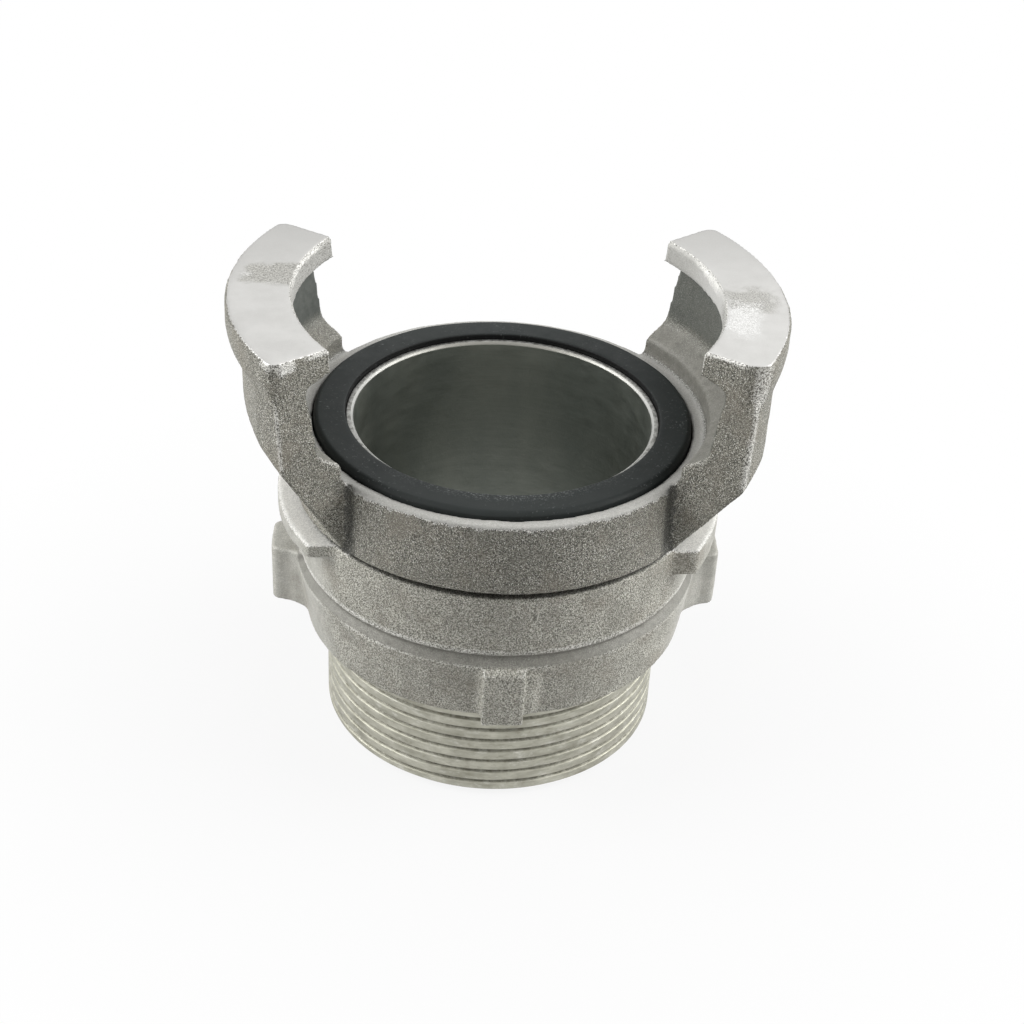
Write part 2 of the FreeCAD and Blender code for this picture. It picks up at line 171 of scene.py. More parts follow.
def polar(points):
    return np.hypot(points[:, 0], points[:, 1]), np.arctan2(points[:, 1], points[:, 0])


# Outlines and turned grids

def rounded_outline(corners, radius, steps=3):
    """A closed outline whose corners are turned into short arcs."""
    corners = [np.array(corner, float) for corner in corners]
    outline = []
    for place, corner in enumerate(corners):
        before = corners[place - 1] - corner
        after = corners[(place + 1) % len(corners)] - corner
        cut = min(radius, 0.45 * np.linalg.norm(before), 0.45 * np.linalg.norm(after))
        start = corner + before / np.linalg.norm(before) * cut
        end = corner + after / np.linalg.norm(after) * cut
        for step in range(steps + 1):
            t = step / steps
            outline.append((1 - t) ** 2 * start + 2 * t * (1 - t) * corner + t ** 2 * end)
    return np.array(outline)


def divided(outline, longest):
    """The outline with each run cut into steps, none longer than longest(start, end) allows."""
    points = []
    for place, start in enumerate(outline):
        end = outline[(place + 1) % len(outline)]
        count = max(1, math.ceil(np.linalg.norm(end - start) / longest(start, end)))
        points += [start + (end - start) * step / count for step in range(count)]
    return np.array(points)


def carried_round(section, columns):
    """The radius, height and angle of every point of a section that is turned about the axis."""
    section = np.asarray(section)
    radius = np.repeat(section[:, :1], columns, axis=1)
    height = np.repeat(section[:, 1:], columns, axis=1)
    return radius, height, np.linspace(0, 2 * math.pi, columns, endpoint=False)[None, :]


def turned_grid(radius, height, angles):
    """Points and quads of a closed section carried round the axis."""
    rows, columns = radius.shape
    points = np.stack([radius * np.cos(angles), radius * np.sin(angles), height], axis=-1)
    row, column = np.meshgrid(np.arange(rows), np.arange(columns), indexing="ij")
    below = (row + 1) % rows
    after = (column + 1) % columns
    faces = np.stack([row * columns + column, row * columns + after,
                      below * columns + after, below * columns + column], axis=-1)
    return points.reshape(-1, 3), faces.reshape(-1, 4).tolist()


# Meshes and objects

def link_object(name, data):
    thing = bpy.data.objects.new(name, data)
    bpy.context.scene.collection.objects.link(thing)
    return thing


def place_mesh(name, mesh, body, slot, material, *nodes):
    mesh.polygons.foreach_set("use_smooth", [True] * len(mesh.polygons))
    mesh.materials.clear()
    mesh.materials.append(material)
    piece = link_object(name, mesh)
    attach(piece, body)
    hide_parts(*nodes)


def add_mesh(name, points, faces, body, slot, material, *nodes):
    mesh = bpy.data.meshes.new(name)
    mesh.from_pydata((np.asarray(points) * MM).tolist(), [], faces)
    place_mesh(name, mesh, body, slot, material, *nodes)
    return mesh


def core_cutter():
    """The space of the barrel, which is taken out of the casting's solid, as an object in millimetres."""
    low, high, inner = -9.0, 99.0, 0.5
    section = [(inner, low), (SPLIT_RADIUS, low), (SPLIT_RADIUS, high), (inner, high)]
    points, faces = turned_grid(*carried_round(section, CORE_COLUMNS))
    mesh = bpy.data.meshes.new("core")
    mesh.from_pydata(points.tolist(), [], faces)
    return link_object("core", mesh)


def remeshed(name, node, voxel, cutter=None):
    """An even skin of small quads over a solid, less the cutter, in millimetres."""
    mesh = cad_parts[node].data.copy()
    mesh.transform(Matrix.Scale(1 / MM, 4))
    source = link_object(name + "_source", mesh)
    if cutter:
        trim = source.modifiers.new("trim", "BOOLEAN")
        trim.operation = "DIFFERENCE"
        trim.solver = "EXACT"
        trim.object = cutter
    skin = source.modifiers.new("skin", "REMESH")
    skin.mode = "VOXEL"
    skin.voxel_size = voxel
    soften = source.modifiers.new("soften", "SMOOTH")
    soften.factor = 0.5
    soften.iterations = SMOOTHING
    graph = bpy.context.evaluated_depsgraph_get()
    result = bpy.data.meshes.new_from_object(source.evaluated_get(graph))
    result.name = name
    bpy.data.objects.remove(source)
    if cutter:
        bpy.data.objects.remove(cutter)
    return result


def read_vectors(collection, name, count):
    values = np.empty(count * 3, np.float32)
    collection.foreach_get(name, values)
    return values.reshape(-1, 3).astype(float)


def read_points(mesh):
    return read_vectors(mesh.vertices, "co", len(mesh.vertices))


def write_points(mesh, points):
    mesh.vertices.foreach_set("co", (points * MM).astype(np.float32).ravel())
    mesh.update()


def write_layer(mesh, name, values):
    attribute = mesh.attributes.new(name, "FLOAT", "POINT")
    attribute.data.foreach_set("value", np.asarray(values, np.float32).ravel())


def edge_sharpness(mesh, points, normals):
    """How convex the skin is at each vertex, averaged with its neighbours."""
    ends = np.empty(len(mesh.edges) * 2, np.int32)
    mesh.edges.foreach_get("vertices", ends)
    first, second = ends.reshape(-1, 2).T
    along_edge = points[second] - points[first]
    along_edge = along_edge / (np.linalg.norm(along_edge, axis=1, keepdims=True) + 1e-9)
    count = np.bincount(first, minlength=len(points)) + np.bincount(second, minlength=len(points))
    count = np.maximum(count, 1)
    bend = np.bincount(first, -np.einsum("ij,ij->i", normals[first], along_edge), len(points))
    bend += np.bincount(second, np.einsum("ij,ij->i", normals[second], along_edge), len(points))
    bend /= count
    total = np.bincount(first, bend[second], len(points)) + np.bincount(second, bend[first], len(points))
    return 0.5 * bend + 0.5 * total / count


class Skin:
    """A remeshed piece's points and normals, and what its layers are made from.

    inward, around and up are the normal's parts towards the axis, round it and along it, and bend is the
    sharpness of an edge.
    """

    def __init__(self, mesh, points):
        normals = read_vectors(mesh.vertex_normals, "vector", len(mesh.vertices))
        self.points = points
        self.normals = normals
        self.radius, self.angle = polar(points)
        self.degrees = np.degrees(self.angle)
        self.height = points[:, 2]
        self.up = normals[:, 2]
        self.inward = -(normals[:, 0] * points[:, 0] + normals[:, 1] * points[:, 1]) / self.radius
        self.around = np.abs(normals[:, 1] * points[:, 0] - normals[:, 0] * points[:, 1]) / self.radius
        self.bend = edge_sharpness(mesh, points, normals)

    def noise(self, size, seed):
        return lattice_noise(self.points, size, seed)

    def uneven(self, share, depth, seed):
        """The points, sunk by about that depth, less or more in waves of three sizes."""
        waves = 0.5 * self.noise(4.5, seed) + 0.35 * self.noise(1.7, seed + 1)
        waves += 0.3 * self.noise(0.9, seed + 2)
        return self.points + self.normals * (share * depth * (waves - 1))[:, None]

    def painted_front_shade(self, spread):
        """Painted shade: 1 at the very front, less to both sides, over that many degrees."""
        return np.exp(-((self.degrees + 90) / spread) ** 2)


class ClawSkin(Skin):
    """The casting's skin, with each point's place on its claw."""

    def __init__(self, mesh, points):
        super().__init__(mesh, points)
        side, back, self.inside_end, self.inside_rim = claw_frame(points)
        self.right = side > 0
        self.left = side < 0
        self.front = back < 0
        self.ragged = 0.35 * self.noise(0.8, 4) + 0.2 * self.noise(2.5, 8)

    def by_side(self, right, left):
        return np.where(self.right, right, left)

    def near_top(self, depth):
        return self.height > CLAW_TOP - depth


# Node helpers, whose values are another node's output, a plain number or a plain colour

# Ranges of a noise that the materials use again and again
BROAD = 0.3, 0.7
MIDDLE = 0.35, 0.65
SPECKLE = 0.43, 0.57


def new_material(name):
    material = bpy.data.materials.new(name)
    material.use_nodes = True
    tree = material.node_tree
    tree.nodes.clear()
    shader = tree.nodes.new("ShaderNodeBsdfPrincipled")
    output = tree.nodes.new("ShaderNodeOutputMaterial")
    tree.links.new(shader.outputs["BSDF"], output.inputs["Surface"])
    return material, tree, shader


def link(tree, value, socket):
    """Gives a socket its value."""
    if isinstance(value, (int, float)):
        socket.default_value = value
    elif isinstance(value, tuple):
        socket.default_value = (*value, 1)
    else:
        tree.links.new(value, socket)


def vector_math(tree, operation, coordinates):
    node = tree.nodes.new("ShaderNodeVectorMath")
    node.operation = operation
    link(tree, coordinates, node.inputs[0])
    return node


def millimetres(tree):
    """The piece's own coordinates in millimetres."""
    place = tree.nodes.new("ShaderNodeTexCoord")
    scale = vector_math(tree, "SCALE", place.outputs["Object"])
    scale.inputs["Scale"].default_value = 1 / MM
    return scale.outputs[0]


def stretched(tree, coordinates, factors):
    scale = vector_math(tree, "MULTIPLY", coordinates)
    scale.inputs[1].default_value = factors
    return scale.outputs[0]


def along(tree, coordinates, axis):
    """How far a place lies along an axis."""
    split = tree.nodes.new("ShaderNodeSeparateXYZ")
    link(tree, coordinates, split.inputs[0])
    return split.outputs[axis]


def noise(tree, coordinates, scale, detail, roughness):
    texture = tree.nodes.new("ShaderNodeTexNoise")
    texture.inputs["Scale"].default_value = scale
    texture.inputs["Detail"].default_value = detail
    texture.inputs["Roughness"].default_value = roughness
    link(tree, coordinates, texture.inputs["Vector"])
    return texture.outputs["Fac"]


def layer(tree, name):
    attribute = tree.nodes.new("ShaderNodeAttribute")
    attribute.attribute_name = name
    return attribute.outputs["Fac"]


def remap(tree, value, low, high, to_low=0.0, to_high=1.0):
    node = tree.nodes.new("ShaderNodeMapRange")
    for name, number in (("From Min", low), ("From Max", high), ("To Min", to_low), ("To Max", to_high)):
        node.inputs[name].default_value = number
    link(tree, value, node.inputs["Value"])
    return node.outputs["Result"]


def math_node(tree, operation, first, second=0.0):
    node = tree.nodes.new("ShaderNodeMath")
    node.operation = operation
    for socket, value in zip(node.inputs, (first, second)):
        link(tree, value, socket)
    return node.outputs[0]


def added(tree, first, second):
    return math_node(tree, "ADD", first, second)


def product(tree, first, second):
    return math_node(tree, "MULTIPLY", first, second)


def larger(tree, first, second):
    return math_node(tree, "MAXIMUM", first, second)


def mixed(tree, factor, first, second):
    """A colour between two."""
    node = tree.nodes.new("ShaderNodeMix")
    node.data_type = "RGBA"
    for socket, value in ((node.inputs[0], factor), (node.inputs[6], first), (node.inputs[7], second)):
        link(tree, value, socket)
    return node.outputs[2]


def bump(tree, height, distance, strength, below=None):
    node = tree.nodes.new("ShaderNodeBump")
    node.inputs["Distance"].default_value = distance * MM
    link(tree, strength, node.inputs["Strength"])
    link(tree, height, node.inputs["Height"])
    if below:
        link(tree, below, node.inputs["Normal"])
    return node.outputs["Normal"]


# The cast material

CAST_LAYERS = "turned", "patch", "spark", "rim", "hollow", "dull", "wear", "crease", "light", "smooth"

# Each pair runs from a place in shade to one in full light
SAND_DARK = (0.050, 0.048, 0.038), (0.1275, 0.124, 0.1005)
SAND_PALE = (0.315, 0.306, 0.258), (0.596, 0.5835, 0.513)
SMOOTH_SKIN = (0.22, 0.215, 0.19), (0.5075, 0.5025, 0.465)
BAND_DARK = (0.34, 0.335, 0.31), (0.515, 0.51, 0.485)
BAND_PALE = (0.52, 0.515, 0.49), (0.62, 0.615, 0.596)

# Each pair is what a noise runs through
TURNED_FACE = (0.53, 0.525, 0.508), (0.58, 0.575, 0.558)
UNTURNED = (0.13, 0.127, 0.108), (0.50, 0.49, 0.455)
# Dull grey for the ledges, and partly painted shade in the ring's neck
DULL_AND_SHADED_GREY = (0.15, 0.147, 0.128), (0.235, 0.23, 0.205)
# Painted shade for the pockets' smooth inner walls
SHADED_POCKET_WALL = (0.066, 0.073, 0.065), (0.105, 0.112, 0.100)

GLINT_SPECKS = (0.80, 0.79, 0.74)
GREY_STAIN = (0.15, 0.146, 0.122)
BROWN_STAIN = (0.215, 0.190, 0.150)
TURNED_FACE_BACK_SHADE = (0.455, 0.451, 0.436)
RUBBED = (0.86, 0.86, 0.85)
# Rubbed metal, and the colour of the painted glints, highlights and light
WORN_AND_HIGHLIGHTS = (0.84, 0.83, 0.79)
# Painted shade for creases, gaps, the front and some edges
SHADE_PAINT = (0.030, 0.031, 0.026)


def sand_colour(tree, at, place, sand, fine, blotches):
    """The blasted skin: dark and pale grains with painted light and shade, painted glints, smoother parts and
    stains.
    """
    dark = mixed(tree, at["light"], *SAND_DARK)
    pale = mixed(tree, at["light"], *SAND_PALE)
    colour = mixed(tree, remap(tree, sand, *SPECKLE), dark, pale)
    # Painted glints on the blasted facets
    colour = mixed(tree, remap(tree, fine, 0.62, 0.68), colour, GLINT_SPECKS)
    plain = mixed(tree, at["light"], *SMOOTH_SKIN)
    colour = mixed(tree, product(tree, at["smooth"], 0.7), colour, plain)
    colour = mixed(tree, remap(tree, blotches, 0.40, 0.62, 0.0, 0.30), colour, GREY_STAIN)
    stains = noise(tree, place, 0.13, 4.0, 0.65)
    return mixed(tree, remap(tree, stains, 0.50, 0.66, 0.0, 0.35), colour, BROWN_STAIN)


def turned_face_colour(tree, at, place, sand, blotches):
    """The claw tops, darker to the back by painted shade, with the rough places that the tool missed and a
    rubbed one.
    """
    colour = mixed(tree, remap(tree, blotches, *MIDDLE), *TURNED_FACE)
    # Painted shade: the tops darken towards the back
    colour = mixed(tree, remap(tree, along(tree, place, "Y"), 2.0, 26.0), colour, TURNED_FACE_BACK_SHADE)
    rough = mixed(tree, remap(tree, sand, *SPECKLE), *UNTURNED)
    colour = mixed(tree, at["patch"], colour, rough)
    rubbed = product(tree, at["spark"], remap(tree, sand, 0.45, 0.56))
    return mixed(tree, rubbed, colour, RUBBED)


def band_colour(tree, at, sand):
    """The smooth pale bands: the head's rim, the hooks' noses and the cams' tops."""
    dark = mixed(tree, at["light"], *BAND_DARK)
    pale = mixed(tree, at["light"], *BAND_PALE)
    return mixed(tree, remap(tree, sand, 0.36, 0.64), dark, pale)


def aged_with_painted_light(tree, at, colour, sand, marks):
    """Painted glints on the bands, rubbed edges, painted highlights and light, dull ledges, and painted shade
    in the neck, pockets and creases, over a colour.
    """
    # Painted glints along the borders of the bands
    beside = math_node(tree, "ABSOLUTE", math_node(tree, "SUBTRACT", at["rim"], 0.42))
    glint = product(tree, remap(tree, beside, 0.12, 0.30, 1.0, 0.0), remap(tree, sand, 0.48, 0.56))
    colour = mixed(tree, glint, colour, WORN_AND_HIGHLIGHTS)
    # Rubbed edges, with the painted highlight on the noses' edges and painted light on the ring's caps
    worn_and_highlit = product(tree, at["wear"], remap(tree, sand, 0.44, 0.54))
    worn_and_highlit = larger(tree, worn_and_highlit, remap(tree, at["wear"], 0.80, 1.0))
    colour = mixed(tree, worn_and_highlit, colour, WORN_AND_HIGHLIGHTS)
    streaks = remap(tree, marks, *BROAD)
    # Dull grey on the ledges, partly painted shade in the ring's neck
    colour = mixed(tree, at["dull"], colour, mixed(tree, streaks, *DULL_AND_SHADED_GREY))
    # Painted shade on the pockets' smooth inner walls
    colour = mixed(tree, at["hollow"], colour, mixed(tree, streaks, *SHADED_POCKET_WALL))
    # Painted shade in creases, gaps, at the front and on some edges, broken up by the grain
    shade_share = product(tree, at["crease"], remap(tree, sand, *MIDDLE, 1.0, 0.55))
    return mixed(tree, shade_share, colour, SHADE_PAINT)


def cast_material():
    """Blasted sand casting with turned faces, smooth dull hollows in painted shade, rubbed edges, painted
    glints and highlights, and painted shade in creases.
    """
    material, tree, shader = new_material("cast_aluminium")
    place = millimetres(tree)
    at = {name: layer(tree, name) for name in CAST_LAYERS}
    grain = noise(tree, place, 3.5, 2.0, 0.6)
    fine = noise(tree, place, 6.4, 1.0, 0.5)
    blotches = noise(tree, place, 0.20, 3.0, 0.6)
    marks = noise(tree, place, 0.8, 4.0, 0.6)
    sand = added(tree, product(tree, grain, 0.5), product(tree, fine, 0.5))
    # The borders of turned faces and bands follow the grain
    border = added(tree, at["turned"], remap(tree, sand, *MIDDLE, -0.35, 0.35))
    turned = remap(tree, border, 0.40, 0.60)
    edge = added(tree, at["rim"], remap(tree, fine, *MIDDLE, -0.40, 0.40))
    banded = remap(tree, edge, 0.42, 0.58)

    colour = mixed(tree, turned, sand_colour(tree, at, place, sand, fine, blotches),
                   turned_face_colour(tree, at, place, sand, blotches))
    colour = mixed(tree, banded, colour, band_colour(tree, at, sand))
    link(tree, aged_with_painted_light(tree, at, colour, sand, marks), shader.inputs["Base Color"])

    bare_metal = product(tree, turned, math_node(tree, "SUBTRACT", 1.0, at["patch"]))
    link(tree, remap(tree, bare_metal, 0.0, 1.0, 0.20, 0.95), shader.inputs["Metallic"])
    roughness = math_node(tree, "SUBTRACT", remap(tree, grain, *BROAD, 0.52, 0.66),
                          product(tree, bare_metal, 0.16))
    link(tree, roughness, shader.inputs["Roughness"])

    even = larger(tree, bare_metal, larger(tree, at["hollow"], at["dull"]))
    even = larger(tree, even, product(tree, banded, 0.7))
    even = larger(tree, even, product(tree, at["smooth"], 0.75))
    depth = remap(tree, even, 0.0, 1.0, 0.9, 0.04)
    relief = bump(tree, grain, 0.13, depth)
    link(tree, bump(tree, fine, 0.07, depth, relief), shader.inputs["Normal"])
    return material


# The turned material

BARREL_LAYERS = "inside", "groove", "lip", "bevel"

CREST = (0.305, 0.299, 0.244), (0.54, 0.532, 0.455)
CREST_LINES = (0.28, 0.275, 0.225)
CREST_PALE = (0.66, 0.655, 0.60)
CREST_DARK = (0.22, 0.213, 0.165)
# Painted shade for the thread's roots
THREAD_ROOT_SHADE = (0.185, 0.178, 0.140)
BORE = (0.198, 0.215, 0.191), (0.262, 0.275, 0.240)
BORE_PALE = (0.33, 0.34, 0.305)
BORE_DARK = (0.16, 0.178, 0.158)
LIP_FACE = (0.20, 0.20, 0.186), (0.42, 0.42, 0.40)
# A painted highlight on the lip's bevel, bright in front and darker to the back
LIP_BEVEL_HIGHLIGHT = (0.54, 0.54, 0.52), (0.28, 0.276, 0.25)


def thread_colour(tree, place, groove, broad, fine, broken):
    """Beige-grey crests with pale and dark spots, and roots in painted shade that fades out here and there.
    """
    colour = mixed(tree, remap(tree, broad, *BROAD), *CREST)
    colour = mixed(tree, remap(tree, fine, *MIDDLE, 0.0, 0.25), colour, CREST_LINES)
    spots = noise(tree, stretched(tree, place, (0.5, 0.5, 1.0)), 0.9, 4.0, 0.7)
    colour = mixed(tree, remap(tree, spots, 0.54, 0.70, 0.0, 0.55), colour, CREST_PALE)
    colour = mixed(tree, remap(tree, spots, 0.44, 0.32, 0.0, 0.45), colour, CREST_DARK)
    # Painted shade in the thread's roots, broken up here and there
    root_shade = product(tree, groove, remap(tree, broken, 0.38, 0.60, 0.85, 0.15))
    return mixed(tree, root_shade, colour, THREAD_ROOT_SHADE)


def bore_colour(tree, place, fine):
    """A dull sheen with pale and dark turning lines."""
    sheen = noise(tree, stretched(tree, place, (0.09, 0.09, 0.03)), 1.0, 2.0, 0.5)
    colour = mixed(tree, remap(tree, sheen, 0.36, 0.64), *BORE)
    lines = noise(tree, stretched(tree, place, (0.03, 0.03, 1.6)), 1.0, 3.0, 0.6)
    colour = mixed(tree, remap(tree, lines, 0.40, 0.66, 0.0, 0.14), colour, BORE_PALE)
    return mixed(tree, remap(tree, fine, *BROAD, 0.0, 0.22), colour, BORE_DARK)


def turned_material():
    """Turned pipe thread and spigot, beige-grey with roots in painted shade, round a dull bore."""
    material, tree, shader = new_material("turned_aluminium")
    place = millimetres(tree)
    inside, groove, lip, bevel = (layer(tree, name) for name in BARREL_LAYERS)
    broad = noise(tree, stretched(tree, place, (0.25, 0.25, 0.7)), 0.8, 3.0, 0.6)
    fine = noise(tree, stretched(tree, place, (0.25, 0.25, 6.0)), 1.0, 2.0, 0.6)
    broken = noise(tree, place, 1.1, 3.0, 0.6)

    colour = mixed(tree, inside, thread_colour(tree, place, groove, broad, fine, broken),
                   bore_colour(tree, place, fine))
    colour = mixed(tree, lip, colour, mixed(tree, remap(tree, broken, 0.38, 0.58), *LIP_FACE))
    # Painted highlight on the lip's bevel, brightest in front and darker towards the back
    bevel_highlight = mixed(tree, remap(tree, along(tree, place, "Y"), 4.0, 24.0), *LIP_BEVEL_HIGHLIGHT)
    link(tree, mixed(tree, bevel, colour, bevel_highlight), shader.inputs["Base Color"])

    link(tree, remap(tree, groove, 0.0, 1.0, 0.9, 0.25), shader.inputs["Metallic"])
    roughness = added(tree, remap(tree, broad, *BROAD, 0.44, 0.56), product(tree, groove, 0.25))
    link(tree, roughness, shader.inputs["Roughness"])
    relief = bump(tree, fine, 0.02, 0.35)
    link(tree, bump(tree, broken, 0.12, 0.30, relief), shader.inputs["Normal"])
    return material


# Rubber and spring steel

RUBBER = (0.015, 0.0185, 0.0175), (0.026, 0.030, 0.0295)
# Painted light and shade across the seal, paler on the left and darker on the right
RUBBER_SIDE_SHADE = (0.030, 0.034, 0.033), (0.008, 0.011, 0.010)
RUBBER_SHADED = (0.003, 0.003, 0.003)
DUST = (0.20, 0.21, 0.21)
DUST_COVER = 0.6
STEEL = (0.24, 0.24, 0.25), (0.40, 0.40, 0.41)


def rubber_material():
    """Black rubber, darker on the right by painted shade, with specks all over and crumbs in the layer dusty.
    """
    material, tree, shader = new_material("seal_rubber")
    place = millimetres(tree)
    mottle = noise(tree, place, 0.35, 4.0, 0.6)
    dust = noise(tree, place, 1.9, 3.0, 0.7)
    drift = noise(tree, place, 0.12, 2.0, 0.5)

    colour = mixed(tree, remap(tree, mottle, *MIDDLE), *RUBBER)
    # Painted light and shade: the rubber is paler on the left and darker on the right
    side_shade = mixed(tree, remap(tree, along(tree, place, "X"), -SEAL_RADIUS, SEAL_RADIUS), *RUBBER_SIDE_SHADE)
    colour = mixed(tree, 0.6, colour, side_shade)
    colour = mixed(tree, layer(tree, "shaded"), colour, RUBBER_SHADED)
    specks = product(tree, remap(tree, dust, 0.60, 0.75), remap(tree, drift, 0.4, 0.6))
    crumbs = remap(tree, noise(tree, place, 3.0, 2.0, 0.6), 0.52, 0.66)
    for share in (specks, product(tree, crumbs, layer(tree, "dusty"))):
        colour = mixed(tree, product(tree, share, DUST_COVER), colour, DUST)
    link(tree, colour, shader.inputs["Base Color"])

    link(tree, remap(tree, mottle, *BROAD, 0.50, 0.68), shader.inputs["Roughness"])
    shader.inputs["Specular IOR Level"].default_value = 0.20
    relief = bump(tree, dust, 0.03, 0.4)
    link(tree, bump(tree, mottle, 0.1, 0.3, relief), shader.inputs["Normal"])
    return material


def steel_material():
    """Drawn spring wire."""
    material, tree, shader = new_material("spring_steel")
    brushed = noise(tree, stretched(tree, millimetres(tree), (0.4, 0.4, 8.0)), 1.0, 3.0, 0.6)
    link(tree, mixed(tree, remap(tree, brushed, *BROAD), *STEEL), shader.inputs["Base Color"])
    shader.inputs["Metallic"].default_value = 1.0
    link(tree, remap(tree, brushed, *BROAD, 0.28, 0.42), shader.inputs["Roughness"])
    link(tree, bump(tree, brushed, 0.02, 0.4), shader.inputs["Normal"])
    return material


def write_cast_layers(mesh, **values):
    """Writes all layers of the cast material, 0 where none is given."""
    nothing = np.zeros(len(mesh.vertices))
    for name in CAST_LAYERS:
        write_layer(mesh, name, np.clip(values.get(name, nothing), 0, 1))


# The casting: head ring and claws

def claw_frame(points):
    """Each point's side, and its distances inside the end faces and the rim of its claw."""
    side = np.where(points[:, 0] > 0, 1.0, -1.0)
    across = points[:, 0] * side
    back = np.where(points[:, 1] > 0, 1.0, -1.0)
    out = np.abs(points[:, 1])
    spread = (CLAW_TOP - points[:, 2]) * END_DRAFT
    inside_end = across * math.sin(CLAW_HALF_ANGLE) - out * math.cos(CLAW_HALF_ANGLE) + spread
    return side, back, inside_end, CLAW_RADIUS - np.hypot(points[:, 0], points[:, 1])


def round_plate_corners(points):
    """The hook plates' rear corners are well rounded in plan, the front ones only broken."""
    side, back, inside_end, inside_rim = claw_frame(points)
    corner = np.where(back > 0, REAR_CORNER, np.where(side > 0, RIGHT_FRONT_CORNER, LEFT_FRONT_CORNER))
    upper = smoothstep(PLATE_UNDERSIDE - 4, PLATE_UNDERSIDE, points[:, 2])
    end_gap = corner - inside_end
    rim_gap = corner - inside_rim
    reach = np.hypot(end_gap, rim_gap)
    beyond = (end_gap > 0) & (rim_gap > 0) & (reach > corner)
    excess = np.where(beyond, 1 - corner / np.maximum(reach, 1e-6), 0) * upper
    radius, _ = polar(points)
    outward = points[:, :2] / radius[:, None]
    endward = np.stack([-side * math.sin(CLAW_HALF_ANGLE), back * math.cos(CLAW_HALF_ANGLE)], axis=1)
    moved = points.copy()
    moved[:, :2] -= outward * (rim_gap * excess)[:, None]
    moved[:, :2] -= endward * (end_gap * excess)[:, None]
    return moved


def unturned_patches(skin):
    """Places on the claw tops where the casting was too low for the tool, and a rubbed bright one."""
    radius, degrees = skin.radius, skin.degrees
    wobble = 0.9 * skin.noise(1.3, 5) + 0.5 * skin.noise(0.6, 6)
    taper = np.clip((radius - HOOK_RADIUS) / 8.3, 0, 1)
    left = within(degrees % 360 + 1.3 * wobble, 164.2 + 4.0 * taper, 178.4 - 2.4 * taper, 1.2)
    left = left * within(radius + 0.5 * wobble, 34.0, 43.6, 0.6)
    right = within(degrees + 2.0 * wobble, -8.5, 2.6, 1.8)
    right = right * within(radius + 0.9 * wobble, 35.6, 43.6, 1.0)
    rubbed = within(degrees + 3.0 * wobble, -22.0, -5.5, 3.0)
    rubbed = rubbed * within(radius + 1.2 * wobble, 35.4, 41.0, 1.2)
    from_blob = np.hypot(skin.points[:, 0] + 42.6, skin.points[:, 1] - 5.6)
    blob = 1 - smoothstep(0.6, 1.2, from_blob + 0.4 * wobble)
    return left, right, np.maximum(0.75 * rubbed, 0.4 * blob)


def chipped_edges(skin, ledge, nose):
    """Every sharp edge above the head, in places, less so along the plates' outer rims."""
    chips = smoothstep(0.0, 0.5, skin.noise(5.0, 21) + 0.3 * skin.noise(1.1, 9))
    wear = smoothstep(0.12, 0.36, skin.bend) * chips * (skin.height > FACE + 2) * (1 - ledge) * (1 - nose)
    return wear * (1 - skin.by_side(0.5, 0.85) * (skin.inside_rim < 1.2) * skin.near_top(1.5))


def front_edges(skin):
    """The edges between the claw tops and their front end faces, broken off in places on the left."""
    broken = skin.noise(2.4, 27)
    foot = CLAW_TOP - skin.by_side(0.65 + 0.2 * broken, 0.8)
    edge = skin.front * (skin.inside_end < 0.8) * within(skin.height, foot, CLAW_TOP + 0.2, 0.15)
    edge = edge * skin.by_side(1.0, smoothstep(-0.7, -0.1, broken))
    edge = edge * within(skin.radius, HOOK_RADIUS, skin.by_side(43.0, 39.0), 1.2)
    return edge * skin.by_side(1.0, 0.9)


def left_corner_damage(skin):
    """A chip and a scrape at the outer front corner of the left claw's top."""
    chip = skin.left * skin.front * (skin.inside_end < 1.4) * within(skin.radius, 41.3, 44.3, 0.5)
    chip = chip * within(skin.height, CLAW_TOP - 1.9 + skin.ragged, CLAW_TOP + 0.2, 0.2)
    scrape = skin.left * skin.front * (skin.inside_end < 3.2) * within(skin.radius, 43.4, 46.1, 0.5)
    scrape = scrape * within(skin.height, CLAW_TOP - 1.1 + skin.ragged, CLAW_TOP + 0.2, 0.2)
    return chip, scrape


def nose_edge_highlights(skin):
    """A painted highlight along the inner edges of the claw tops, which flares out towards the front of the
    right claw.
    """
    depth = skin.by_side(0.9 + 0.9 * (1 - smoothstep(9, 19, skin.degrees)), 0.9)
    edge = smoothstep(0.2, 0.5, skin.inward) * (skin.radius < NOSE_REACH) * skin.near_top(depth)
    edge = edge * skin.by_side(within(skin.degrees, 4, 20, 3), within(skin.degrees % 360, 152, 177, 3))
    return edge * (0.86 + 0.14 * skin.noise(0.9, 33)) * (skin.up > skin.by_side(-0.2, 0.25))


def outer_corners(skin):
    """The upright corners between the claws' front end faces and their rims."""
    plate = smoothstep(PLATE_UNDERSIDE - 3, PLATE_UNDERSIDE, skin.height)
    right = 1 - smoothstep(0.8 + 1.5 * plate, 1.5 + 2.2 * plate, skin.inside_end + 0.6 * skin.ragged)
    right = right * smoothstep(44.7 - 1.1 * plate, 45.2 - 0.8 * plate, skin.radius)
    right = right * within(skin.height, FACE + 2.5, CLAW_TOP - 0.1, 0.4)
    left = (1 - smoothstep(0.3, 0.9, skin.inside_end)) * smoothstep(44.9, 45.3, skin.radius)
    left = left * within(skin.height, FACE + 2.5, PLATE_UNDERSIDE - 0.5, 1.5)
    return skin.front * skin.by_side(0.64 * right, 0.6 * left)


def foot_edges(skin):
    """The inner edges of the claws' front end faces, close above the head."""
    edge = skin.front * (skin.inside_end < 1.1) * within(skin.radius, 34.8, 38.9, 0.4)
    edge = edge * smoothstep(0.05, 0.18, skin.bend) * within(skin.height, FACE + 0.8, FACE + 7.0, 0.4)
    return edge * skin.by_side(0.35, 0.7)


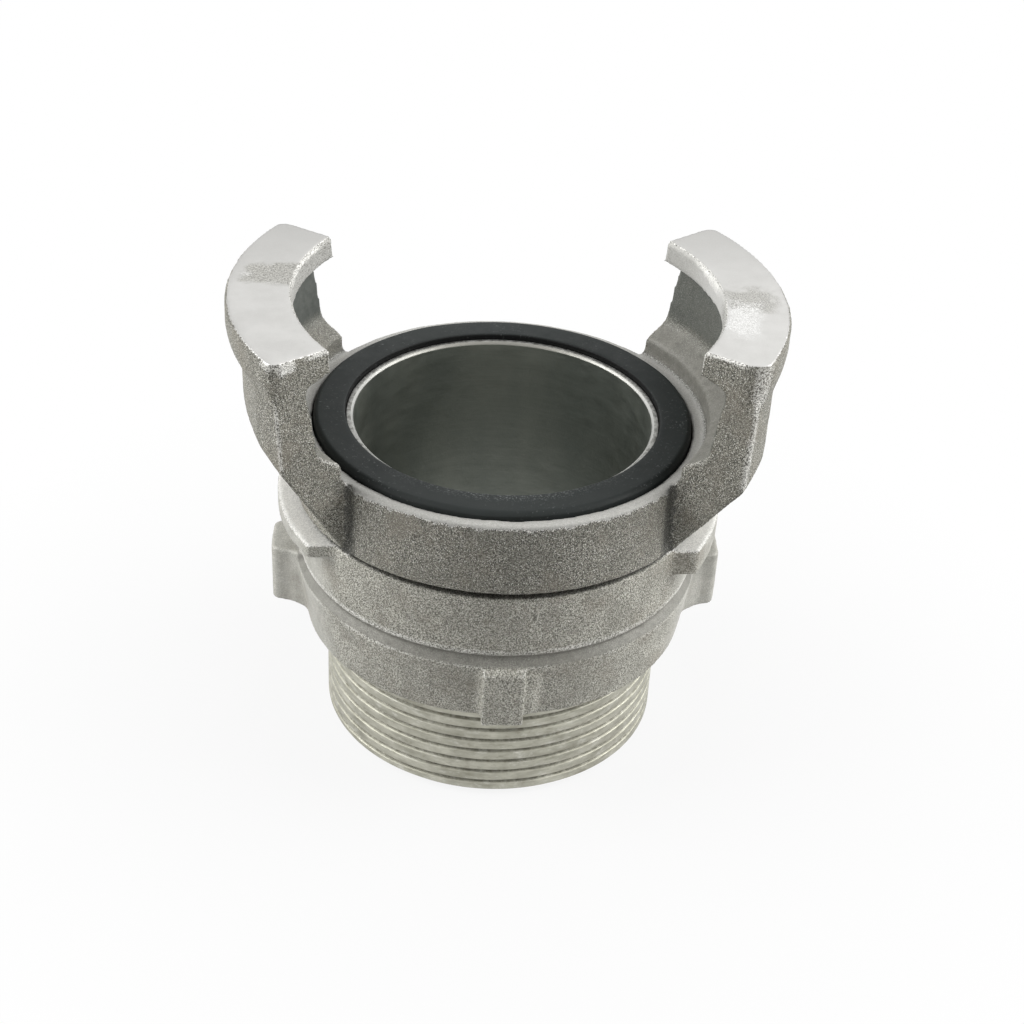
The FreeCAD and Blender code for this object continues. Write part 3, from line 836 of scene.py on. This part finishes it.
def claw_wear(skin, top, ledge, nose):
    """All that is rubbed bright, and the painted highlight on the noses' edges, kept off the claw tops but
    for a strip along their front edges.
    """
    chip, scrape = left_corner_damage(skin)
    front_edge = front_edges(skin)
    wear = np.maximum.reduce([0.7 * chipped_edges(skin, ledge, nose), front_edge, 0.88 * chip, 0.7 * scrape,
                              nose_edge_highlights(skin), outer_corners(skin), foot_edges(skin)])
    return wear * (1 - 0.9 * np.where(front_edge > 0.3, smoothstep(0.5, 0.9, top), top))


def claw_creases(skin, knot):
    """Painted shade on the head beside the claws, along the claws' feet and in front, and on the rounding of
    the tops' outer rims in front.
    """
    height, radius, inside_end = skin.height, skin.radius, skin.inside_end
    beside = (radius < 36.0) * (height < FACE + 0.5) * (height > HEAD_FOOT - 0.5) * (inside_end < 0.6)
    reach = skin.by_side(0.5, 0.0)
    beside = beside * (1 - smoothstep(1.0 + reach, 2.6 + reach, 0.3 * skin.ragged - inside_end))
    beside = beside * (np.abs(skin.inward) > 0.55)
    seam = within(height, FACE - 0.1, FACE + 0.7, 0.2) * within(radius, 34.0, 35.1, 0.2) * (inside_end > 0.2)
    front_shade = skin.painted_front_shade(24) * (height < BELOW_RIM)
    rounding = smoothstep(0.15, 0.35, skin.up) * (1 - smoothstep(0.90, 0.98, skin.up)) * skin.near_top(0.9)
    rounding = rounding * (skin.inside_rim < 1.1) * (inside_end > 2.5) * skin.front * skin.by_side(0.2, 0.32)
    return np.maximum.reduce([beside, 0.6 * seam, 0.25 * front_shade, 0.4 * knot, rounding])


def make_casting(material):
    """The head ring and the claws, whose skin is cast but for the turned claw tops."""
    mesh = remeshed("casting", "coupling_body", CASTING_VOXEL, core_cutter())
    skin = ClawSkin(mesh, round_plate_corners(read_points(mesh)))
    height, radius, up, inward = skin.height, skin.radius, skin.up, skin.inward

    top = smoothstep(CLAW_TOP - 0.35, CLAW_TOP - 0.15, height) * smoothstep(0.75, 0.95, up)
    left_patch, right_patch, rubbed = unturned_patches(skin)
    nose = smoothstep(0.3, 0.6, inward) * (radius < NOSE_REACH) * skin.near_top(4.6)
    right_nose = nose * skin.right * smoothstep(-8, 2, skin.degrees)
    # The knot, the concave corner at each claw's front foot, gets painted shade in place of a pale band
    knot = within(skin.inside_end, -1.5, 0.5, 0.3) * within(radius, 34.2, 36.6, 0.3) * skin.front
    knot = knot * within(height, FACE - 1.6, FACE + 0.9, 0.3)
    rim = within(height, FACE - 0.75 + skin.ragged, FACE + 0.3, 0.2)
    rim = rim * (radius < 35.4) * (up > -0.2) * (1 - knot)
    wall = smoothstep(0.4, 0.75, inward) * smoothstep(36.6, 37.6, radius)
    wall = wall * smoothstep(FACE + 4.5, FACE + 8, height)
    ledge = within(radius, 34.2, 38.4, 0.3) * within(height, FACE + 0.3, FACE + 8.5, 0.3)
    ledge = ledge * (skin.inside_end > 0.7)
    # Painted light: the head below the rim is paler away from the front, and the right claw's nose paler
    # towards its front
    lit = 0.16 * (1 - skin.painted_front_shade(30)) * (height < BELOW_RIM)
    nose_light = 0.8 * right_nose * (1 - 0.9 * smoothstep(8, 26, skin.degrees))

    as_cast = np.maximum(1 - smoothstep(0.3, 0.7, top), 0.5 * left_patch)
    points = skin.uneven(as_cast * (1 - 0.7 * wall), CASTING_UNEVEN, 1)
    low, high = (np.array(corner) / MM for corner in CAD_BOX)
    write_points(mesh, np.clip(points, low + BOX_MARGIN, high - BOX_MARGIN))
    # The pockets' inner walls get painted shade, deeper on the left than on the right
    write_cast_layers(
        mesh, turned=top, patch=np.maximum(0.8 * left_patch, 0.65 * right_patch) * top, spark=rubbed * top,
        rim=np.maximum(rim, nose * (0.75 + 0.25 * right_nose)), hollow=wall * skin.by_side(0.8, 1.0),
        dull=ledge * (1 - wall) * skin.by_side(0.8, 0.45), wear=claw_wear(skin, top, ledge, nose),
        crease=claw_creases(skin, knot), light=np.maximum(nose_light, lit))
    place_mesh("casting", mesh, "coupling", "cast_aluminium", material, "coupling_body")


# The turned barrel: bore, lip, spigot and pipe thread

OUTSIDE = 28.0
BARREL_CORNERS = [
    (BORE_RADIUS + BORE_CHAMFER, 0.0), (THREAD_RADIUS - THREAD_CHAMFER, 0.0), (THREAD_RADIUS, THREAD_CHAMFER),
    (THREAD_RADIUS, THREAD_END), (SPIGOT_RADIUS, THREAD_SHOULDER), (SPIGOT_RADIUS, SNAP_GROOVE[0]),
    (SNAP_GROOVE_RADIUS, SNAP_GROOVE[0]), (SNAP_GROOVE_RADIUS, SNAP_GROOVE[1]),
    (SPIGOT_RADIUS, SNAP_GROOVE[1]), (SPIGOT_RADIUS, HEAD_FOOT + CLEARANCE),
    (BARREL_REACH, HEAD_FOOT + CLEARANCE), (BARREL_REACH, GROOVE_FLOOR - CLEARANCE),
    (LIP_RADIUS, GROOVE_FLOOR - CLEARANCE), (LIP_RADIUS, FACE), (BORE_RADIUS + LIP_CHAMFER, FACE),
    (BORE_RADIUS, FACE - LIP_CHAMFER), (BORE_RADIUS, BORE_CHAMFER)]


def thread_profile(phase):
    """Depth of a 55 degree pipe thread along one pitch, as a share of its full depth."""
    away = np.abs(phase - 0.5) * THREAD_PITCH
    flank = np.clip((away - 0.10) / (THREAD_DEPTH * THREAD_FLANK), 0, 1)
    return 1 - (0.6 * flank + 0.4 * smoothstep(0, 1, flank))


def barrel_step(start, end):
    """The longest step on a run of the barrel's outline, where runs below a millimetre stay whole."""
    if np.linalg.norm(end - start) < UNCUT_RUN:
        return UNCUT_RUN
    on_thread = start[0] > OUTSIDE and max(start[1], end[1]) < THREAD_SHOULDER + 0.1
    return THREAD_STEP if on_thread else PLAIN_STEP


def make_barrel(material):
    """One turned mesh, with a right-handed helical thread that runs out below the shoulder."""
    outline = divided(rounded_outline(BARREL_CORNERS, BARREL_ROUNDING), barrel_step)
    radius, height, angles = carried_round(outline, BARREL_COLUMNS)
    threaded = (radius > OUTSIDE) & (height > 0.05) & (height < THREAD_END + 0.4)
    profile = thread_profile((height / THREAD_PITCH - angles / (2 * math.pi)) % 1.0)
    runout = 1 - smoothstep(THREAD_END - 1.2, THREAD_END + 0.3, height)
    cut = np.where(threaded, np.minimum(radius, THREAD_RADIUS - THREAD_DEPTH * profile * runout), radius)
    points, faces = turned_grid(cut, height, angles)
    mesh = add_mesh("barrel", points, faces, "coupling", "cast_aluminium", material, "coupling_body")
    inside = (cut < BORE_RADIUS + 0.08) & (height < FACE - LIP_BORDER)
    groove = np.where(threaded, smoothstep(0.02, 0.45, profile) * runout, 0.0)
    lip = (height > FACE - 0.3) & (cut > BORE_RADIUS + LIP_BORDER)
    bevel = (height > FACE - LIP_BORDER) & (cut < BORE_RADIUS + LIP_BORDER)
    for name, values in zip(BARREL_LAYERS, (inside, groove, lip, bevel)):
        write_layer(mesh, name, values)


# The locking ring

def ring_cap(skin, top):
    """The cams' tops and the ring's top beside them, which are smooth and pale, and get painted light."""
    cam = smoothstep(COLLAR_RADIUS + 0.2, COLLAR_RADIUS + 0.6, skin.radius)
    cam = cam * (skin.height > CAM_FOOT)
    cam = cam * (1 - smoothstep(0.45, 0.7, skin.around)) * smoothstep(0.55, 0.8, skin.up)
    return np.maximum(cam, top)


def ring_wear(skin, cap):
    """Sharp edges, the collar's and the hub's edges at the neck, and painted light on the caps."""
    height, radius = skin.height, skin.radius
    edges = smoothstep(0.10, 0.30, skin.bend) * (0.55 + 0.45 * skin.noise(3.0, 19))
    edges = edges * (height < RING_TOP - 1) * (1 - 0.6 * smoothstep(CAM_REACH - 0.6, CAM_REACH, radius))
    collar = within(height, COLLAR_FOOT - 0.1, COLLAR_FOOT + 0.9, 0.35) * (radius > COLLAR_RADIUS - 0.7)
    hub = within(height, COLLAR_FOOT - 3.2, COLLAR_FOOT - 1.9, 0.3) * (radius > 35.1)
    hub = hub * smoothstep(0.02, 0.10, skin.bend)
    # The caps' near-white is painted light on the cams' tops under the claws
    return np.maximum.reduce([
        edges, collar * (0.6 + 0.4 * skin.noise(4.0, 23)), hub * (0.4 + 0.5 * skin.noise(4.0, 29)),
        cap * (0.87 + 0.04 * skin.noise(5.0, 37))])


def ring_creases(skin, bare_top, cap, neck):
    """Painted shade on the ring's top between the cams, at the front, on the cams' outer edges and in the
    neck, and a little on the caps.
    """
    edge = smoothstep(0.2, 0.4, skin.up) * (1 - smoothstep(0.88, 0.98, skin.up)) * (skin.radius > CAM_REACH)
    edge = edge * (skin.height > CAM_FOOT)
    return np.maximum.reduce([
        0.9 * bare_top, 0.12 * skin.painted_front_shade(24), 0.10 * cap, 0.28 * edge, 0.18 * neck])


def run_out_ribs(points, radius):
    """Lifts the hub beside the front and rear ribs, so that their flanks run out onto it."""
    height = points[:, 2]
    slope = 1 - smoothstep(RIB_HALF_WIDTH, RIB_HALF_WIDTH + 2.2, np.abs(points[:, 0]))
    along_rib = smoothstep(RING_FOOT + 0.2, RING_FOOT + 1.6, height)
    along_rib = along_rib * (1 - smoothstep(RIB_TOP - 1.0, RIB_TOP, height))
    lift = RIB_LIFT * slope * along_rib * (radius > 32.0) * np.clip(RIB_REACH - radius, 0, None)
    lifted = points.copy()
    lifted[:, :2] *= (1 + lift / radius)[:, None]
    return lifted, lift


def ring_light(skin, height, lift):
    """The ears, the lower right and the ribs' flanks are in full light, the rest a little less."""
    ears = (skin.radius > 35.6) * (1 - smoothstep(31.0, 33.5, height))
    low_right = within(skin.degrees, -72, -5, 12) * (1 - smoothstep(30.0, 32.5, height))
    return 0.80 + 0.20 * np.maximum.reduce([ears, low_right, smoothstep(0.05, 0.5, lift)])


def make_locking_ring(material):
    """The second casting, with a turned bore, and smoother at its sides than in front."""
    mesh = remeshed("locking_ring_skin", "locking_ring", RING_VOXEL)
    skin = Skin(mesh, read_points(mesh))
    top = smoothstep(RING_TOP - 0.3, RING_TOP - 0.15, skin.height) * smoothstep(0.8, 0.95, skin.up)
    bore = smoothstep(0.5, 0.8, skin.inward) * (skin.radius < 32)
    by_cams = smoothstep(0.70, 0.77, np.abs(np.cos(skin.angle))) * smoothstep(34.0, 34.6, skin.radius)
    cap = ring_cap(skin, top * by_cams)
    neck = within(skin.height, COLLAR_FOOT - 2.1, COLLAR_FOOT - 0.15, 0.12)
    neck = neck * within(skin.radius, 33.0, 35.3, 0.15)

    as_cast = 1 - smoothstep(0.3, 0.7, np.maximum(bore, top))
    points = skin.uneven(as_cast, RING_UNEVEN, 11)
    lifted, lift = run_out_ribs(points, skin.radius)
    write_points(mesh, lifted)
    # Painted shade on the ring's top between the cams, its front, the cams' edges and the neck, and painted
    # light on the caps
    write_cast_layers(
        # In the neck, the dull grey is partly painted shade in the recess
        mesh, turned=bore, rim=cap, dull=0.8 * neck * (skin.inward < 0.3), wear=ring_wear(skin, cap),
        crease=ring_creases(skin, top * (1 - by_cams), cap, neck),
        light=ring_light(skin, points[:, 2], lift),
        smooth=1 - smoothstep(0.40, 0.64, np.abs(np.sin(skin.angle))))
    place_mesh("locking_ring_skin", mesh, "ring", "cast_aluminium", material, "locking_ring")


# The seal and the snap ring

def make_seal(material):
    """The face seal, a little uneven on top, with crumbs of dust along the lip in front."""
    corners = [(LIP_RADIUS + 0.1, GROOVE_FLOOR), (SEAL_FOOT_RADIUS, GROOVE_FLOOR), (SEAL_RADIUS, FACE),
               (SEAL_RADIUS, FACE + 0.5), (SEAL_RADIUS - 0.6, SEAL_TOP), (LIP_RADIUS + 0.1, SEAL_TOP)]
    outline = divided(rounded_outline(corners, SEAL_ROUNDING, 5), lambda start, end: SEAL_STEP)
    points, faces = turned_grid(*carried_round(outline, SEAL_COLUMNS))
    swell = SEAL_UNEVEN * lattice_noise(points, 6.0, 31) - SEAL_UNEVEN
    points[:, 2] += np.where(points[:, 2] > FACE + 0.4, swell, 0)
    radius, angle = polar(points)
    dusty = (1 - smoothstep(0.9, 2.6, radius - LIP_RADIUS)) * (points[:, 2] > FACE)
    dusty = dusty * np.exp(-((np.degrees(angle) + 92) / 34) ** 2)
    mesh = add_mesh("seal_skin", points, faces, "coupling", "seal_rubber", material, "face_seal")
    write_layer(mesh, "dusty", dusty)
    write_layer(mesh, "shaded", 0.9 * (radius < LIP_RADIUS + 0.25))


def make_snap_ring(material):
    """A split ring of flat spring wire, with both ends closed."""
    (inner, outer), (low, high) = SNAP_RING_RADII, SNAP_RING
    corners = [(inner, low), (outer, low), (outer, high), (inner, high)]
    section = rounded_outline(corners, WIRE_ROUNDING)
    angles = np.radians(np.linspace(*SNAP_ENDS, SNAP_COLUMNS))
    count = len(section)
    points = [(r * math.cos(a), r * math.sin(a), z) for a in angles for r, z in section]
    last = (SNAP_COLUMNS - 1) * count
    faces = [(row + k, row + (k + 1) % count, row + count + (k + 1) % count, row + count + k)
             for row in range(0, last, count) for k in range(count)]
    faces += [tuple(range(count)), tuple(range(last, last + count))[::-1]]
    add_mesh("snap_ring", points, faces, "coupling", "spring_steel", material, "retaining_ring")


# Stage, light and camera, in metres

FLOOR_HALF = 1.6
FLOOR_GREY = 0.55
# From this far from the axis to that, the floor goes over from this share of white to that one
FLOOR_WHITENESS = 0.04, 0.12, 0.88, 1.0
TENT_BASE = 0.03
TENT_SIDES = 1.10
TENT_OVERHEAD = 0.25
TENT_BEHIND = 0.25
SIDE_FOCUS = 3.0
OVERHEAD_FOCUS = 1.3
LAMP_TARGET = (0, 0, 0.045)
LAMPS = [
    # name, place, width, height and power
    ("overhead", (0.12, 0.40, 0.48), 0.45, 0.35, 0.25),
    ("left_box", (-0.50, 0.01, 0.36), 0.40, 0.40, 3.35),
    ("right_box", (0.51, -0.03, 0.34), 0.40, 0.40, 3.75)]
CAMERA_PLACE = (-0.025463, -0.266418, 0.217165)
CAMERA_ANGLES = (56.3515, -2.788, -4.1457)
SENSOR_WIDTH = 36.0
FOCAL_LENGTH = 64.284


def seen_directly(tree):
    """1 for the rays that show the white surroundings: to the camera, in metal and through glass."""
    path = tree.nodes.new("ShaderNodeLightPath")
    shown = larger(tree, path.outputs["Is Camera Ray"], path.outputs["Is Glossy Ray"])
    return larger(tree, shown, path.outputs["Is Transmission Ray"])


def make_floor():
    """A pale floor that shows white, but for the object's soft shadow near the middle."""
    mesh = bpy.data.meshes.new("floor")
    corners = [(x * FLOOR_HALF, y * FLOOR_HALF, 0) for x, y in ((-1, -1), (1, -1), (1, 1), (-1, 1))]
    mesh.from_pydata(corners, [], [(0, 1, 2, 3)])
    floor = link_object("floor", mesh)
    material, tree, shader = new_material("pale_floor")
    shader.inputs["Base Color"].default_value = (FLOOR_GREY, FLOOR_GREY, FLOOR_GREY, 1)
    shader.inputs["Roughness"].default_value = 0.9
    shader.inputs["Specular IOR Level"].default_value = 0.0
    place = tree.nodes.new("ShaderNodeTexCoord")
    distance = vector_math(tree, "LENGTH", place.outputs["Object"])
    whiteness = remap(tree, distance.outputs["Value"], *FLOOR_WHITENESS)
    white = tree.nodes.new("ShaderNodeEmission")
    blend = tree.nodes.new("ShaderNodeMixShader")
    link(tree, product(tree, seen_directly(tree), whiteness), blend.inputs[0])
    link(tree, shader.outputs["BSDF"], blend.inputs[1])
    link(tree, white.outputs["Emission"], blend.inputs[2])
    output = next(node for node in tree.nodes if node.type == "OUTPUT_MATERIAL")
    link(tree, blend.outputs[0], output.inputs["Surface"])
    mesh.materials.append(material)


def make_world():
    """A light tent, brighter overhead and to both sides than in front, white to the camera."""
    world = bpy.data.worlds.new("tent")
    bpy.context.scene.world = world
    world.use_nodes = True
    tree = world.node_tree
    tree.nodes.clear()
    place = tree.nodes.new("ShaderNodeTexCoord")
    split = tree.nodes.new("ShaderNodeSeparateXYZ")
    link(tree, place.outputs["Generated"], split.inputs[0])
    sideways = math_node(tree, "POWER", math_node(tree, "ABSOLUTE", split.outputs["X"]), SIDE_FOCUS)
    overhead = math_node(tree, "POWER", larger(tree, split.outputs["Z"], 0.0), OVERHEAD_FOCUS)
    behind = larger(tree, split.outputs["Y"], 0.0)
    level = TENT_BASE
    for direction, strength in ((sideways, TENT_SIDES), (overhead, TENT_OVERHEAD), (behind, TENT_BEHIND)):
        level = added(tree, level, product(tree, direction, strength))
    level = larger(tree, level, seen_directly(tree))
    background = tree.nodes.new("ShaderNodeBackground")
    background.inputs["Color"].default_value = (1, 1, 1, 1)
    link(tree, level, background.inputs["Strength"])
    output = tree.nodes.new("ShaderNodeOutputWorld")
    link(tree, background.outputs[0], output.inputs["Surface"])


def make_lights():
    for name, place, width, height, power in LAMPS:
        light = bpy.data.lights.new(name, "AREA")
        light.shape = "RECTANGLE"
        light.size = width
        light.size_y = height
        light.energy = power
        toward = np.array(LAMP_TARGET) - np.array(place)
        yaw = math.atan2(toward[1], toward[0])
        pitch = math.acos(-toward[2] / np.linalg.norm(toward))
        lamp = link_object(name, light)
        lamp.location = place
        lamp.rotation_euler = (pitch, 0, yaw - math.pi / 2)


def make_camera():
    """The photograph's view, 0.30 m from the sealing face and 34 degrees above it."""
    lens = bpy.data.cameras.new("camera")
    lens.sensor_width = SENSOR_WIDTH
    lens.lens = FOCAL_LENGTH
    lens.clip_start = 0.01
    camera = link_object("camera", lens)
    camera.location = CAMERA_PLACE
    camera.rotation_euler = tuple(math.radians(angle) for angle in CAMERA_ANGLES)
    bpy.context.scene.camera = camera


bpy.context.scene.view_settings.view_transform = "Standard"
make_camera()
make_world()
make_lights()
make_floor()

CAST = cast_material()
make_casting(CAST)
make_locking_ring(CAST)
make_barrel(turned_material())
make_seal(rubber_material())
make_snap_ring(steel_material())
